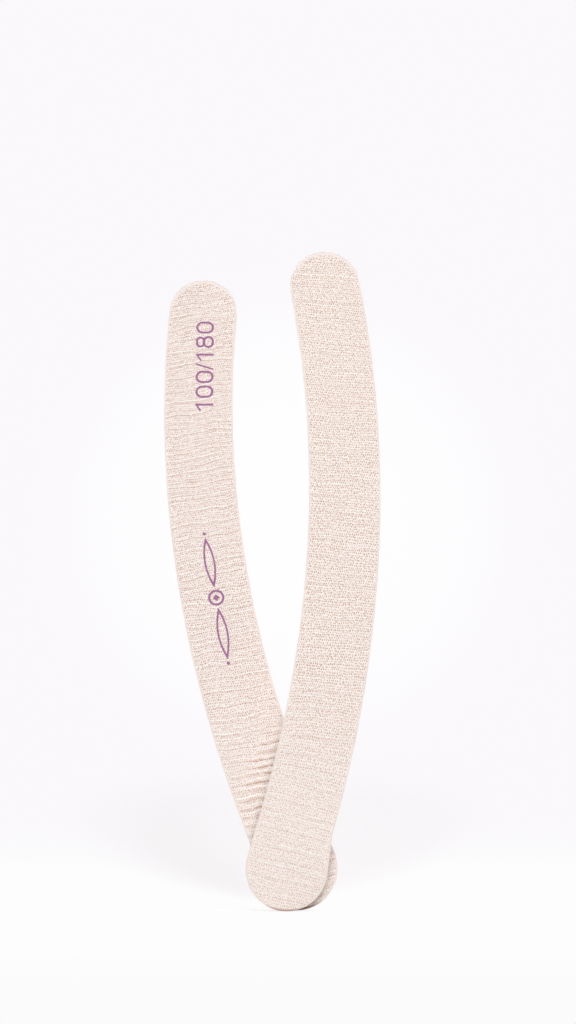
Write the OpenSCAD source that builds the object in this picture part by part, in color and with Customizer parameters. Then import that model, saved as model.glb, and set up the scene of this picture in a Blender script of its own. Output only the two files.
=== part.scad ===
// A pair of like curved emery boards, standing upright on their rounded feet.
// The front board shows its plain face, and the rear one its printed face.
// X is to the right, Y is away from the viewer, and the boards stand on Z = 0.
// The origin is under the middle of the pair.

/* [Board outline] */
// Width of the board across its curve
board_w = 19.2; // [16:0.1:20.5]
// Radius of the curved middle line
bend_r = 320; // [280:1:400]
// Distance between the centres of the two rounded ends
end_spacing = 158.8; // [130:0.1:165]
// Radius of the fuller foot end
foot_r = 10.4; // [10.3:0.1:11.5]
// How far the foot's centre lies towards the outer edge
foot_shift = 1; // [0:0.1:1.5]
// Length of the straight outer side, up from the foot's centre
outer_side_run = 11.5; // [8:0.5:20]
// Length of the straight inner side, up from the foot's centre
inner_side_run = 5.4; // [4:0.2:8]

/* [Layers] */
// Thickness of the coarse grit on the printed face
coarse_grit_t = 0.24; // [0.1:0.02:0.4]
// Thickness of the fine grit on the plain face
fine_grit_t = 0.16; // [0.1:0.02:0.3]
// Thickness of the backing paper under each grit
paper_t = 0.18; // [0.1:0.01:0.3]
// Thickness of the adhesive film between foam and paper
outer_adhesive_t = 0.1; // [0.05:0.01:0.2]
// Thickness of the adhesive film between foam and core
inner_adhesive_t = 0.1; // [0.05:0.01:0.2]
// Thickness of each foam cushion
foam_t = 1.12; // [0.6:0.02:1.8]
// Thickness of the stiff core strip
core_t = 0.6; // [0.3:0.05:1]
// How far the foam cushions stay inside the cut edge
foam_inset = 0.12; // [0.02:0.02:0.3]
// How far the adhesive films stay inside the cut edge
adhesive_inset = 0.06; // [0.02:0.02:0.2]

/* [Printed numerals] */
// Height of the numerals
digit_h = 5.1; // [4:0.1:6]
// Width of a round numeral
digit_w = 3.75; // [3:0.05:4]
// Width of the small upper ring of the numeral eight
eight_top_w = 3.4; // [2.8:0.05:3.8]
// Width of the numerals' stroke
stroke_w = 0.62; // [0.4:0.02:0.8]
// Width of the dividing stroke and of the flag on the numeral one
thin_stroke_w = 0.48; // [0.3:0.02:0.6]
// Space between two numerals
digit_gap = 0.78; // [0.5:0.02:1]
// Space after a numeral one
one_gap = 1.75; // [1:0.05:2]
// Space before the dividing stroke
slash_gap = 0.2; // [0.1:0.05:1]
// Reach of the flag on the numeral one, along the line
flag_reach = 1.85; // [1:0.05:2]
// How far the tip of the flag lies below the top of the numeral one
flag_drop = 1.5; // [1:0.05:2]
// How far the dividing stroke slants along the line
slash_run = 1.7; // [1.2:0.1:2.4]
// Distance of the numerals above the board's middle, along its curve
numerals_up = 62.9; // [55:0.1:64]
// How far the numerals lie inside the middle line, towards the hollow edge
numerals_in = 1.6; // [0:0.1:2]
// Turn of the numerals against the board's curve
numerals_turn = 1.6; // [-2:0.1:2]

/* [Printed ornament] */
// Distance of the ornament below the board's middle, along its curve
ornament_down = 5.6; // [0:0.1:20]
// Length of each of the ornament's two slender leaves
leaf_length = 14.5; // [10:0.5:16]
// Width of a leaf
leaf_w = 3; // [2:0.1:4]
// Width of the leaf's printed line
leaf_line_w = 0.5; // [0.3:0.05:0.7]
// Radius of the ring at the ornament's middle
ring_r = 2.2; // [1.6:0.1:3]
// Width of the line of the ring
ring_line_w = 0.6; // [0.4:0.05:0.8]
// Half the diagonal of the lozenge inside the ring
lozenge_r = 0.95; // [0.5:0.05:1.2]
// Radius of the dots beyond the leaves
dot_r = 0.45; // [0.3:0.05:0.6]
// Space between the ornament's parts
ornament_gap = 0.6; // [0.3:0.1:1]
// Thickness of the printed ink
ink_t = 0.03; // [0.02:0.01:0.05]

/* [Standing pair] */
// Tilt of the front board towards its outer edge
front_tilt = 4.2; // [0:0.1:12]
// Tilt of the rear board towards its outer edge
rear_tilt = 10.1; // [0:0.1:12]
// Lean of the rear board away from the viewer
rear_lean = 3.6; // [0:0.1:8]
// Sideways distance between the middles of the two boards
board_spread = 15.1; // [6:0.1:24]
// Gap between the boards at the floor
board_gap = 0.3; // [0.2:0.1:2]

/* [Hidden] */
$fn = 96;

// Facets of the long curved edges, for a smooth mesh
curve_fn = 1440;

// The board lies on its chord: the rounded ends' centres are on x = 0, at y = +half_span
// and y = -half_span, and the curve bulges towards -x.
half_span = end_spacing / 2;
half_angle = asin(half_span / bend_r);
arc_x = bend_r * cos(half_angle);
outer_side_angle = half_angle - outer_side_run / bend_r * 180 / PI;
inner_side_angle = half_angle - inner_side_run / bend_r * 180 / PI;

// How far shapes of the outline reach into each other where they meet at a tangent
lap = 0.02;

// Depths of the layers' outer faces below the printed face
coarse_paper_at = coarse_grit_t;
coarse_outer_adhesive_at = coarse_paper_at + paper_t;
coarse_foam_at = coarse_outer_adhesive_at + outer_adhesive_t;
coarse_inner_adhesive_at = coarse_foam_at + foam_t;
core_at = coarse_inner_adhesive_at + inner_adhesive_t;
fine_inner_adhesive_at = core_at + core_t;
fine_foam_at = fine_inner_adhesive_at + inner_adhesive_t;
fine_outer_adhesive_at = fine_foam_at + foam_t;
fine_paper_at = fine_outer_adhesive_at + outer_adhesive_t;
fine_grit_at = fine_paper_at + paper_t;
board_t = fine_grit_at + fine_grit_t;

// Height of the chord's middle over the floor, and the reach of the bulge beyond it
function chord_height(tilt) = foot_r + foot_shift * sin(tilt) + half_span * cos(tilt);
function bulge_reach(tilt) = bend_r + board_w / 2 - arc_x * cos(tilt);

// The pair's own box, whose middle stands over the origin
rear_y = board_t + board_gap;
rear_top = chord_height(rear_tilt) + half_span * cos(rear_tilt) + board_w / 2;
pair_depth = rear_y + board_t * cos(rear_lean) + rear_top * sin(rear_lean);
pair_w = board_spread + bulge_reach(rear_tilt) + bulge_reach(front_tilt);
rear_x = bulge_reach(rear_tilt) - pair_w / 2;
front_x = pair_w / 2 - bulge_reach(front_tilt);

// Point on the board at an angle along its curve and a radius from the curve's centre
function curve_point(angle, radius) = [arc_x - radius * cos(angle), radius * sin(angle)];

// Point where a line from a point touches a circle, on the side that the sign gives
function touch_point(from, centre, r, side) =
    let (
        away = from - centre,
        angle = atan2(away[1], away[0]) + side * acos(r / norm(away))
    )
    centre + r * [cos(angle), sin(angle)];

// The curved stretch of the outline with its top end, down to the straight inner side
module curved_band(inset) {
    half_w = board_w / 2 - inset;
    far_r = 2 * bend_r;
    difference() {
        intersection() {
            translate([arc_x, 0]) circle(r = bend_r + half_w, $fn = curve_fn);
            union() {
                polygon([
                    [arc_x, 0],
                    curve_point(half_angle, far_r),
                    curve_point(-inner_side_angle, far_r)
                ]);
                translate([0, half_span]) circle(r = half_w + lap);
            }
        }
        translate([arc_x, 0]) circle(r = bend_r - half_w, $fn = curve_fn);
    }
}

// The foot, with the straight sides that run down to it
module foot(inset) {
    half_w = board_w / 2 - inset - lap;
    touch_r = foot_r - inset - lap;
    centre = [-foot_shift, -half_span];
    outer_start = curve_point(-outer_side_angle, bend_r + half_w);
    inner_start = curve_point(-inner_side_angle, bend_r - half_w);
    translate(centre) circle(r = foot_r - inset);
    polygon([
        outer_start,
        touch_point(outer_start, centre, touch_r, 1),
        touch_point(inner_start, centre, touch_r, -1),
        inner_start
    ]);
}

// The whole outline, with its cut edge moved inwards by an inset
module outline(inset = 0) {
    curved_band(inset);
    foot(inset);
}

// One layer of the board, at a depth below the printed face
module layer(depth, thickness, inset = 0) {
    translate([0, 0, -depth - thickness]) linear_extrude(thickness) outline(inset);
}

module coarse_grit() {
    color("#efe0d8") layer(0, coarse_grit_t);
}

module coarse_paper() {
    color("#f3e9e2") layer(coarse_paper_at, paper_t);
}

module coarse_outer_adhesive() {
    color("#f6f0dc") layer(coarse_outer_adhesive_at, outer_adhesive_t, adhesive_inset);
}

module coarse_foam() {
    color("#f4e6e4") layer(coarse_foam_at, foam_t, foam_inset);
}

module coarse_inner_adhesive() {
    color("#f6f0dc") layer(coarse_inner_adhesive_at, inner_adhesive_t, adhesive_inset);
}

module core() {
    color("#fbfaf8") layer(core_at, core_t);
}

module fine_inner_adhesive() {
    color("#f6f0dc") layer(fine_inner_adhesive_at, inner_adhesive_t, adhesive_inset);
}

module fine_foam() {
    color("#f4e6e4") layer(fine_foam_at, foam_t, foam_inset);
}

module fine_outer_adhesive() {
    color("#f6f0dc") layer(fine_outer_adhesive_at, outer_adhesive_t, adhesive_inset);
}

module fine_paper() {
    color("#f3e9e2") layer(fine_paper_at, paper_t);
}

module fine_grit() {
    color("#f0e3db") layer(fine_grit_at, fine_grit_t);
}

// A straight printed stroke with square ends, from one point to another
module stroke(from, to, w) {
    run = to - from;
    translate(from) rotate(atan2(run[1], run[0]))
        translate([0, -w / 2]) square([norm(run), w]);
}

// A filled shape with two straight sides and round ends, centred on the origin
module capsule(w, h) {
    d = min(w, h);
    square([w > h ? w - d : d, w > h ? d : h - d], center = true);
    for (side = [-1, 1]) translate(side * [w - d, h - d] / 2) circle(d = d);
}

// A capsule drawn as a line, by its outer width and height
module capsule_line(w, h) {
    difference() {
        capsule(w, h);
        capsule(w - 2 * stroke_w, h - 2 * stroke_w);
    }
}

// The numeral nought, from its left edge, with its foot on the line
module nought() {
    translate([digit_w, digit_h] / 2) capsule_line(digit_w, digit_h);
}

// The numeral one, from the tip of its flag
module one() {
    stem_x = flag_reach;
    stroke([stem_x, 0], [stem_x, digit_h], stroke_w);
    stroke([0, digit_h - flag_drop], [stem_x, digit_h - stroke_w / 2], thin_stroke_w);
}

// The numeral eight: a small ring on a larger one, whose strokes nearly cover each other
module eight() {
    shared = 0.9 * stroke_w;
    lower_h = 0.55 * (digit_h + shared);
    upper_h = digit_h + shared - lower_h;
    translate([digit_w / 2, lower_h / 2]) capsule_line(digit_w, lower_h);
    translate([digit_w / 2, digit_h - upper_h / 2]) capsule_line(eight_top_w, upper_h);
}

// A flat ring, by its outer radius and the width of its line
module ring(outer_r, line_w) {
    difference() {
        circle(r = outer_r);
        circle(r = outer_r - line_w);
    }
}

// Widths that the numerals one and the dividing stroke take up on the line
one_w = flag_reach + stroke_w / 2;
slash_w = slash_run + thin_stroke_w;

// Left edges of the seven characters along the line, each after the one before and its space
char_w = [one_w, digit_w, digit_w, slash_w, one_w, digit_w, digit_w];
space_w = [one_gap, digit_gap, slash_gap, digit_gap, one_gap, digit_gap];
function char_at(i) = i == 0 ? 0 : char_at(i - 1) + char_w[i - 1] + space_w[i - 1];
line_w = char_at(6) + char_w[6];

// The line of numerals that gives the two grits, centred on the origin
module numerals() {
    translate([-line_w / 2, -digit_h / 2]) {
        translate([char_at(0), 0]) one();
        translate([char_at(1), 0]) nought();
        translate([char_at(2), 0]) nought();
        translate([char_at(3) + thin_stroke_w / 2, 0])
            stroke([0, 0], [slash_run, digit_h], thin_stroke_w);
        translate([char_at(4), 0]) one();
        translate([char_at(5), 0]) eight();
        translate([char_at(6), 0]) nought();
    }
}

// A slender leaf outline along x, the overlap of two circles, centred on the origin
module leaf(length, w) {
    side_r = (length * length + w * w) / (4 * w);
    intersection_for (side = [-1, 1])
        translate([0, side * (side_r - w / 2)]) circle(r = side_r, $fn = curve_fn);
}

// A plain ornament: a lozenge in a ring, with a leaf and a dot on either side
module ornament() {
    leaf_x = ring_r + ornament_gap + leaf_length / 2;
    dot_x = leaf_x + leaf_length / 2 + ornament_gap + dot_r;
    ring(ring_r, ring_line_w);
    circle(r = lozenge_r, $fn = 4);
    for (side = [-1, 1]) {
        translate([side * leaf_x, 0]) difference() {
            leaf(leaf_length, leaf_w);
            leaf(leaf_length - 6 * leaf_line_w, leaf_w - 2 * leaf_line_w);
        }
        translate([side * dot_x, 0]) circle(r = dot_r);
    }
}

// Ink on the printed face, along the curve and in from its middle line
module ink(along, inwards, turn) {
    angle = along / bend_r * 180 / PI;
    color("#9c6a9c") translate(curve_point(angle, bend_r - inwards))
        rotate(90 - angle + turn) linear_extrude(ink_t) children();
}

module numerals_ink() {
    ink(numerals_up, numerals_in, numerals_turn) numerals();
}

module ornament_ink() {
    ink(-ornament_down, 0, 0) ornament();
}

// Stands a board on its foot with its printed face to -Y, tilted towards its bulge
module standing(tilt) {
    translate([0, 0, chord_height(tilt)]) rotate([0, -tilt, 0]) rotate([90, 0, 0]) children();
}

// The rear board leans back, and stands on its lower back edge
module at_rear() {
    translate([rear_x, rear_y - pair_depth / 2, board_t * sin(rear_lean)])
        rotate([-rear_lean, 0, 0]) standing(rear_tilt) children();
}

// The front board is turned about, so that its plain face is in front
module in_front() {
    translate([front_x, board_t - pair_depth / 2, 0])
        rotate([0, 0, 180]) standing(front_tilt) children();
}

at_rear() coarse_grit();  // rear_coarse_grit
at_rear() coarse_paper();  // rear_coarse_paper
at_rear() coarse_outer_adhesive();  // rear_coarse_outer_adhesive
at_rear() coarse_foam();  // rear_coarse_foam
at_rear() coarse_inner_adhesive();  // rear_coarse_inner_adhesive
at_rear() core();  // rear_core
at_rear() fine_inner_adhesive();  // rear_fine_inner_adhesive
at_rear() fine_foam();  // rear_fine_foam
at_rear() fine_outer_adhesive();  // rear_fine_outer_adhesive
at_rear() fine_paper();  // rear_fine_paper
at_rear() fine_grit();  // rear_fine_grit
at_rear() numerals_ink();  // rear_numerals_ink
at_rear() ornament_ink();  // rear_ornament_ink
in_front() coarse_grit();  // front_coarse_grit
in_front() coarse_paper();  // front_coarse_paper
in_front() coarse_outer_adhesive();  // front_coarse_outer_adhesive
in_front() coarse_foam();  // front_coarse_foam
in_front() coarse_inner_adhesive();  // front_coarse_inner_adhesive
in_front() core();  // front_core
in_front() fine_inner_adhesive();  // front_fine_inner_adhesive
in_front() fine_foam();  // front_fine_foam
in_front() fine_outer_adhesive();  // front_fine_outer_adhesive
in_front() fine_paper();  // front_fine_paper
in_front() fine_grit();  // front_fine_grit
in_front() numerals_ink();  // front_numerals_ink
in_front() ornament_ink();  // front_ornament_ink
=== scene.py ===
"""Two curved, cushioned emery boards standing crossed at the foot on a white studio floor.

Each board is modelled lying flat, as it leaves the cutting die: X points to its hollow edge, Y up
along its chord and Z out of its printed face. The finished pieces are then stood up in their places.
Sizes are in millimetres, and MM turns them into metres.
"""
import math

import bpy
from mathutils import Matrix, Vector


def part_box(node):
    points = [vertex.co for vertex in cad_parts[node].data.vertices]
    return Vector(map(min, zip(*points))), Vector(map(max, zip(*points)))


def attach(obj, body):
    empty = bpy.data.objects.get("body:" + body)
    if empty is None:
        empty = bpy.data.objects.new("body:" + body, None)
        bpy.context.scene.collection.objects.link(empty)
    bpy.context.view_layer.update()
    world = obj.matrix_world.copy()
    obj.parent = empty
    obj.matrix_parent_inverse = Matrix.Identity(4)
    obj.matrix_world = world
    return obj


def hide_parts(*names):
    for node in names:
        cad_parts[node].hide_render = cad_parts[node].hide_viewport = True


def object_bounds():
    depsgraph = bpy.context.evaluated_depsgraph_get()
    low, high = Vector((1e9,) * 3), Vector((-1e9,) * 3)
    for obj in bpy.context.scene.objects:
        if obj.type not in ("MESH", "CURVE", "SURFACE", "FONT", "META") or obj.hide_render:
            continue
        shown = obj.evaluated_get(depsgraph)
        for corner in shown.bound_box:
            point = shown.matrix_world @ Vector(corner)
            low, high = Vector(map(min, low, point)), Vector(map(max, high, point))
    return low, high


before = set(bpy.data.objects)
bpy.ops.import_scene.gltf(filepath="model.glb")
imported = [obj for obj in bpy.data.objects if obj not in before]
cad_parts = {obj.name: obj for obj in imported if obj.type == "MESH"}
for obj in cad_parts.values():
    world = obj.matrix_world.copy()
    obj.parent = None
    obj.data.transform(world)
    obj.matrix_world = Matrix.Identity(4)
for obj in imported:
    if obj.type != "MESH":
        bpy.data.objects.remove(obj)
cad_low, cad_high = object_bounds()

MM = 0.001

# Outline of a board, as the CAD draws it
BOARD_W = 19.2
BEND_R = 320.0
END_SPACING = 158.8
FOOT_R = 10.4
FOOT_SHIFT = 1.0
SIDE_RUN = 11.5

# Layers of a board, from the printed face down
COARSE_T = 0.24
FINE_T = 0.16
PAPER_T = 0.18
FILM_T = 0.1
FOAM_T = 1.12
CORE_T = 0.6
FOAM_INSET = 0.12
BOARD_T = COARSE_T + FINE_T + 2 * (PAPER_T + FOAM_T) + 4 * FILM_T + CORE_T

# How the pair stands
FRONT_TILT = math.radians(4.2)
REAR_TILT = math.radians(10.1)
REAR_LEAN = math.radians(3.6)

# Worked out from the sizes above
HALF_W = BOARD_W / 2
HALF_SPAN = END_SPACING / 2
HALF_ANGLE = math.asin(HALF_SPAN / BEND_R)
ARC_X = BEND_R * math.cos(HALF_ANGLE)
SIDE_ANGLE = HALF_ANGLE - SIDE_RUN / BEND_R
TOP_CENTRE = Vector((0, HALF_SPAN))
FOOT_CENTRE = Vector((-FOOT_SHIFT, -HALF_SPAN))

# Mesh spacing along and across the board
ROW = 0.2
FINE_ROW = 0.17
COLUMN = 0.33
END_STEPS = 150
BAND_STEPS = 76
MERGE_WITHIN = 0.002
SMOOTH_UNDER = math.radians(50)

# Pressed rim of the coats: its width, and the distances from the edge where it has a row
RIM_W = 0.55
RIM_ROWS = (0.46, 0.37, 0.28, 0.2, 0.13, 0.06, 0.0)
RIM_CURVE = 2.2

# Distances from the edge between which the ridges come up to their full height
RIDGES_FROM = 0.1
RIDGES_FULL = RIDGES_FROM + 1.4 * RIM_W

# Smooth band round the top end: how far in from the edge it ends and starts to fade, and the
# heights over the end's centre between which it comes in
END_BAND = (0.85, 1.35)
END_BAND_RISE = (1.0, 6.0)

# Photograph's view, found by fitting the boards' outlines in the 576 by 1024 picture
LENS = 50
CAMERA_AT = (5.06, -379.99, 12.0)
CAMERA_UP = math.radians(13.828)


def curve_point(angle, radius):
    """Point on the lying board, at an angle along its curve and a radius from the curve's centre."""
    return Vector((ARC_X - radius * math.cos(angle), radius * math.sin(angle)))


def touch_angle(start, centre, radius, side):
    """Angle round a circle at which a straight line from a start point touches it."""
    away = start - centre
    return math.atan2(away.y, away.x) + side * math.acos(radius / away.length)


def smooth(share):
    """Eases a share from 0 to 1, and holds it there."""
    share = min(max(share, 0.0), 1.0)
    return share * share * (3 - 2 * share)


# Where the straight sides touch the foot, on the bulging and on the hollow side
OUTER_TOUCH = touch_angle(curve_point(-SIDE_ANGLE, BEND_R + HALF_W), FOOT_CENTRE, FOOT_R, 1)
INNER_TOUCH = touch_angle(curve_point(-SIDE_ANGLE, BEND_R - HALF_W), FOOT_CENTRE, FOOT_R, -1)


def deselect_all():
    bpy.ops.object.select_all(action="DESELECT")


def only(piece):
    """Makes a piece the only one selected, and the active one."""
    deselect_all()
    piece.select_set(True)
    bpy.context.view_layer.objects.active = piece


def select_points(piece, wanted):
    """Selects the points of a piece whose numbers are wanted, and nothing else, in edit mode."""
    bpy.ops.object.mode_set(mode="OBJECT")
    only(piece)
    bpy.ops.object.mode_set(mode="EDIT")
    bpy.ops.mesh.select_mode(type="VERT")
    bpy.ops.mesh.select_all(action="DESELECT")
    bpy.ops.object.mode_set(mode="OBJECT")
    for number in wanted:
        piece.data.vertices[number].select = True
    bpy.ops.object.mode_set(mode="EDIT")


def apply_modifier(piece, modifier):
    only(piece)
    bpy.ops.object.modifier_apply(modifier=modifier.name)


def add_ring(name, section, place, shares):
    """A closed ring across the board: one point for each of the section's, set by place()."""
    deselect_all()
    bpy.ops.mesh.primitive_circle_add(vertices=len(section), radius=HALF_W * MM)
    ring = bpy.context.object
    ring.name = name
    marks = ring.vertex_groups.new(name="worked")
    for point, (across, height), share in zip(ring.data.vertices, section, shares):
        point.co = (*place(across) * MM, height * MM)
        marks.add([point.index], share, "REPLACE")
    return ring


def at_top(across):
    """Point across the board at the centre of its top end, across towards the bulging edge."""
    return curve_point(HALF_ANGLE, BEND_R + across)


def at_foot(across):
    """Point across the foot, on the two radii that meet the straight sides."""
    angle = OUTER_TOUCH if across >= 0 else INNER_TOUCH
    reach = abs(across) * FOOT_R / HALF_W
    return FOOT_CENTRE + reach * Vector((math.cos(angle), math.sin(angle)))


def select_band_lines(board):
    """Selects the lines along the board's curved band, from each of its rings to the next."""
    bpy.ops.object.mode_set(mode="OBJECT")
    only(board)
    bpy.ops.object.mode_set(mode="EDIT")
    bpy.ops.mesh.select_mode(type="EDGE")
    bpy.ops.mesh.select_all(action="DESELECT")
    bpy.ops.object.mode_set(mode="OBJECT")
    angles = [math.atan2(point.co.y, ARC_X * MM - point.co.x) for point in board.data.vertices]
    step = (HALF_ANGLE + SIDE_ANGLE) / BAND_STEPS
    for line in board.data.edges:
        low, high = sorted(angles[number] for number in line.vertices)
        on_band = low > -SIDE_ANGLE - step / 9 and high < HALF_ANGLE + step / 9
        line.select = on_band and high - low > step / 2
    bpy.ops.object.mode_set(mode="EDIT")


def spin_board(name, half_section, half_shares, row):
    """Draws a cross-section along the board's curve and round both ends, as one closed shape.

    half_section runs from the middle of the face over the bulging edge to the middle of the
    underside, in pairs of distance across and height, and half_shares marks each point.
    """
    other_half = [(-across, height) for across, height in reversed(half_section[1:-1])]
    section = half_section + other_half
    shares = half_shares + list(reversed(half_shares[1:-1]))
    board = add_ring(name, section, at_top, shares)
    foot = add_ring(name + "_foot", section, at_foot, shares)
    only(board)
    foot.select_set(True)
    bpy.ops.object.join()
    ring, half = len(section), len(half_section)

    select_points(board, range(half))
    bpy.ops.mesh.spin(
        steps=END_STEPS, angle=math.pi, center=(*TOP_CENTRE * MM, 0), axis=(0, 0, 1)
    )
    select_points(board, range(ring, ring + half))
    bpy.ops.mesh.spin(
        steps=END_STEPS,
        angle=OUTER_TOUCH - INNER_TOUCH - 2 * math.pi,
        center=(*FOOT_CENTRE * MM, 0),
        axis=(0, 0, 1),
    )
    select_points(board, range(ring))
    bpy.ops.mesh.spin(
        steps=BAND_STEPS,
        angle=-(HALF_ANGLE + SIDE_ANGLE),
        center=(ARC_X * MM, 0, 0),
        axis=(0, 0, 1),
    )
    bpy.ops.object.mode_set(mode="OBJECT")
    last_ring = [point.index for point in board.data.vertices if point.select]
    select_points(board, last_ring + list(range(ring, 2 * ring)))
    bpy.ops.mesh.bridge_edge_loops(number_cuts=round(SIDE_RUN / row) - 1, interpolation="LINEAR")
    select_band_lines(board)
    band_row = (HALF_ANGLE + SIDE_ANGLE) * BEND_R / BAND_STEPS
    bpy.ops.mesh.subdivide(number_cuts=round(band_row / row) - 1)

    bpy.ops.mesh.select_all(action="SELECT")
    bpy.ops.mesh.remove_doubles(threshold=MERGE_WITHIN * MM)
    bpy.ops.mesh.normals_make_consistent(inside=False)
    bpy.ops.object.mode_set(mode="OBJECT")
    bpy.ops.object.shade_smooth_by_angle(angle=SMOOTH_UNDER)
    return board


def feed(tree, socket, value):
    """Gives a socket its value, or links it to the output that feeds it."""
    if isinstance(value, bpy.types.NodeSocket):
        tree.links.new(value, socket)
    else:
        socket.default_value = value


def add_node(tree, kind, *inputs, **settings):
    """Adds a node, with its settings, and inputs given as pairs of socket and value."""
    node = tree.nodes.new(kind)
    for setting, value in settings.items():
        setattr(node, setting, value)
    for socket, value in inputs:
        feed(tree, node.inputs[socket], value)
    return node


def sum_up(tree, operation, first, second=0.0, third=0.0):
    """One step of arithmetic on numbers: two of them, or three where the step takes three."""
    inputs = [(0, first), (1, second), (2, third)]
    count = 3 if operation in ("MULTIPLY_ADD", "COMPARE") else 2
    return add_node(tree, "ShaderNodeMath", *inputs[:count], operation=operation).outputs[0]


def between(tree, value, low, high):
    """How far a value lies between a low and a high limit, eased, from 0 to 1."""
    inputs = [("Value", value), ("From Min", low), ("From Max", high)]
    return add_node(tree, "ShaderNodeMapRange", *inputs, interpolation_type="SMOOTHSTEP").outputs[0]


def split(tree, place):
    """The three parts of a place or a direction."""
    return add_node(tree, "ShaderNodeSeparateXYZ", (0, place)).outputs


def stretch(tree, place, scale):
    """Place multiplied by a scale for each direction."""
    inputs = [(0, place), (1, scale)]
    return add_node(tree, "ShaderNodeVectorMath", *inputs, operation="MULTIPLY").outputs[0]


def shift_by(tree, place, step):
    """Place moved by a step."""
    inputs = [(0, place), (1, step)]
    return add_node(tree, "ShaderNodeVectorMath", *inputs, operation="ADD").outputs[0]


def noise(tree, place, scale, detail=1.0, roughness=0.5):
    """Soft noise around 0, from about -0.5 to 0.5, with cells of 1 / scale millimetres."""
    inputs = [("Vector", stretch(tree, place, scale)), ("Scale", 1.0)]
    inputs += [("Detail", detail), ("Roughness", roughness)]
    cloud = add_node(tree, "ShaderNodeTexNoise", *inputs)
    return sum_up(tree, "SUBTRACT", cloud.outputs[0], 0.5)


def new_group(name, kind, inputs, outputs):
    """A node group with named inputs and outputs, as (tree, input node, output node)."""
    tree = bpy.data.node_groups.new(name, kind)
    for socket_name, socket_kind, value in inputs:
        socket = tree.interface.new_socket(socket_name, in_out="INPUT", socket_type=socket_kind)
        if value is not None:
            socket.default_value = value
    for socket_name, socket_kind in outputs:
        tree.interface.new_socket(socket_name, in_out="OUTPUT", socket_type=socket_kind)
    return tree, tree.nodes.new("NodeGroupInput"), tree.nodes.new("NodeGroupOutput")


def new_mesh_group(name):
    """A node group that takes a mesh and gives it back worked over."""
    kind = "NodeSocketGeometry"
    return new_group(name, "GeometryNodeTree", [("Geometry", kind, None)], [("Geometry", kind)])


def place_on_board(tree, scale_up=1.0):
    """Place of each point on the lying board, in millimetres, or flattened where scale_up is 0."""
    position = add_node(tree, "GeometryNodeInputPosition").outputs[0]
    return stretch(tree, position, (1 / MM, 1 / MM, scale_up / MM))


def value_on_points(tree, name):
    """A value that each point of the mesh keeps."""
    settings = {"data_type": "FLOAT"}
    return add_node(tree, "GeometryNodeInputNamedAttribute", ("Name", name), **settings).outputs[0]


def move_points(tree, geometry, offset, made):
    """Moves each point by its offset, and gives the mesh to the group's output."""
    inputs = [("Geometry", geometry), ("Offset", offset)]
    moved = add_node(tree, "GeometryNodeSetPosition", *inputs)
    tree.links.new(moved.outputs[0], made.inputs[0])


def keep_on_points(tree, geometry, name, kind, value):
    """Keeps a value on the mesh, under a name that the materials read."""
    inputs = [("Geometry", geometry), ("Name", name), ("Value", value)]
    node = add_node(tree, "GeometryNodeStoreNamedAttribute", *inputs, data_type=kind, domain="POINT")
    return node.outputs[0]


def wave(tree, place, period, bend, gain_scale, gain):
    """Ridges across the board with a period in millimetres, whose height comes and goes."""
    along = split(tree, place)[1]
    turn = sum_up(tree, "MULTIPLY_ADD", along, 2 * math.pi / period, bend)
    height = sum_up(tree, "SINE", turn)
    strength = sum_up(tree, "MULTIPLY_ADD", noise(tree, place, gain_scale, 1.0), gain[1], gain[0])
    return sum_up(tree, "MULTIPLY", height, sum_up(tree, "MAXIMUM", strength, 0.0))


def deep_ridges(tree, place, bend, deep):
    """Deeper ridges across the lower stretch, which fade out upwards, to one side and at the foot."""
    inputs = [(0, place), (1, deep["toward"])]
    away = add_node(tree, "ShaderNodeVectorMath", *inputs, operation="DOT_PRODUCT").outputs["Value"]
    along = split(tree, place)[1]
    strength = sum_up(
        tree, "MULTIPLY", between(tree, away, *deep["reach"]), between(tree, along, *deep["rise"])
    )
    strength = sum_up(tree, "MULTIPLY", strength, between(tree, along, *deep["end"]))
    strength = sum_up(tree, "MULTIPLY", strength, deep["gain"])
    turn = sum_up(tree, "MULTIPLY_ADD", along, 2 * math.pi / deep["period"], bend)
    return sum_up(tree, "MULTIPLY", sum_up(tree, "SINE", turn), strength)


def end_band(tree, place):
    """1 on the smooth band round the top end of the lying board, and 0 off it."""
    parts = split(tree, place)
    up = sum_up(tree, "MAXIMUM", sum_up(tree, "SUBTRACT", parts[1], TOP_CENTRE.y), 0.0)
    from_centre = add_node(tree, "ShaderNodeCombineXYZ", (0, parts[0]), (1, up)).outputs[0]
    reach = add_node(tree, "ShaderNodeVectorMath", (0, from_centre), operation="LENGTH")
    band = between(tree, reach.outputs["Value"], HALF_W - END_BAND[1], HALF_W - END_BAND[0])
    return sum_up(tree, "MULTIPLY", band, between(tree, up, *END_BAND_RISE))


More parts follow.
